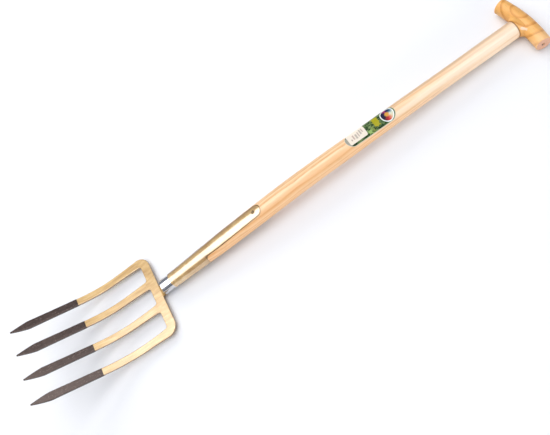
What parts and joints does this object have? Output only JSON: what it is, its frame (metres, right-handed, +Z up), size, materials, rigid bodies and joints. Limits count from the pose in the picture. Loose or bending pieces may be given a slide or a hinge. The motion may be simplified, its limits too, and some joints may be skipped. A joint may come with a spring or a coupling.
{
  "type": "garden digging fork",
  "caption": "Digging fork with flat curved tines on a forged crossbar, a strapped conical socket, an ash shaft and a bowed T-grip.",
  "frame": {"origin": "middle of the footprint, on the floor: the fork lies front face up on the heel of its tang and the underside of the grip", "axes": "+X from the tines to the grip, +Y across the tines, +Z up, out of the front of the fork"},
  "size_m": [1.1408, 0.1834, 0.0974],
  "materials": {
    "gold_lacquer": "clear golden lacquer over forged steel, satin, faintly streaked",
    "dip_coating": "thin dark brown dip coat, dull",
    "bright_steel": "polished bright steel with fine turning lines",
    "rivet_steel": "dull steel rivet head",
    "shaft_ash": "pale planed ash, long grain, light oil",
    "grip_ash": "warmer ash, turned across the grain, varnished",
    "dowel_ash": "pale ash dowel, cut flush",
    "label_paper": "printed paper label: leafy green ground, thin white border and a plain flower roundel",
    "sticker_paper": "white paper sticker with faint plain bars"
  },
  "bodies": {
    "root": {"crossbar": "gold_lacquer", "tine_1": "gold_lacquer", "tine_1_dip": "dip_coating", "tine_2": "gold_lacquer", "tine_2_dip": "dip_coating", "tine_3": "gold_lacquer", "tine_3_dip": "dip_coating", "tine_4": "gold_lacquer", "tine_4_dip": "dip_coating", "tang": "gold_lacquer", "neck_collar": "bright_steel", "socket": "gold_lacquer", "strap_rivet": "rivet_steel", "shaft": "shaft_ash", "grip_pin": "dowel_ash", "t_grip": "grip_ash", "label": "label_paper", "price_sticker": "sticker_paper"}
  },
  "joints": []
}
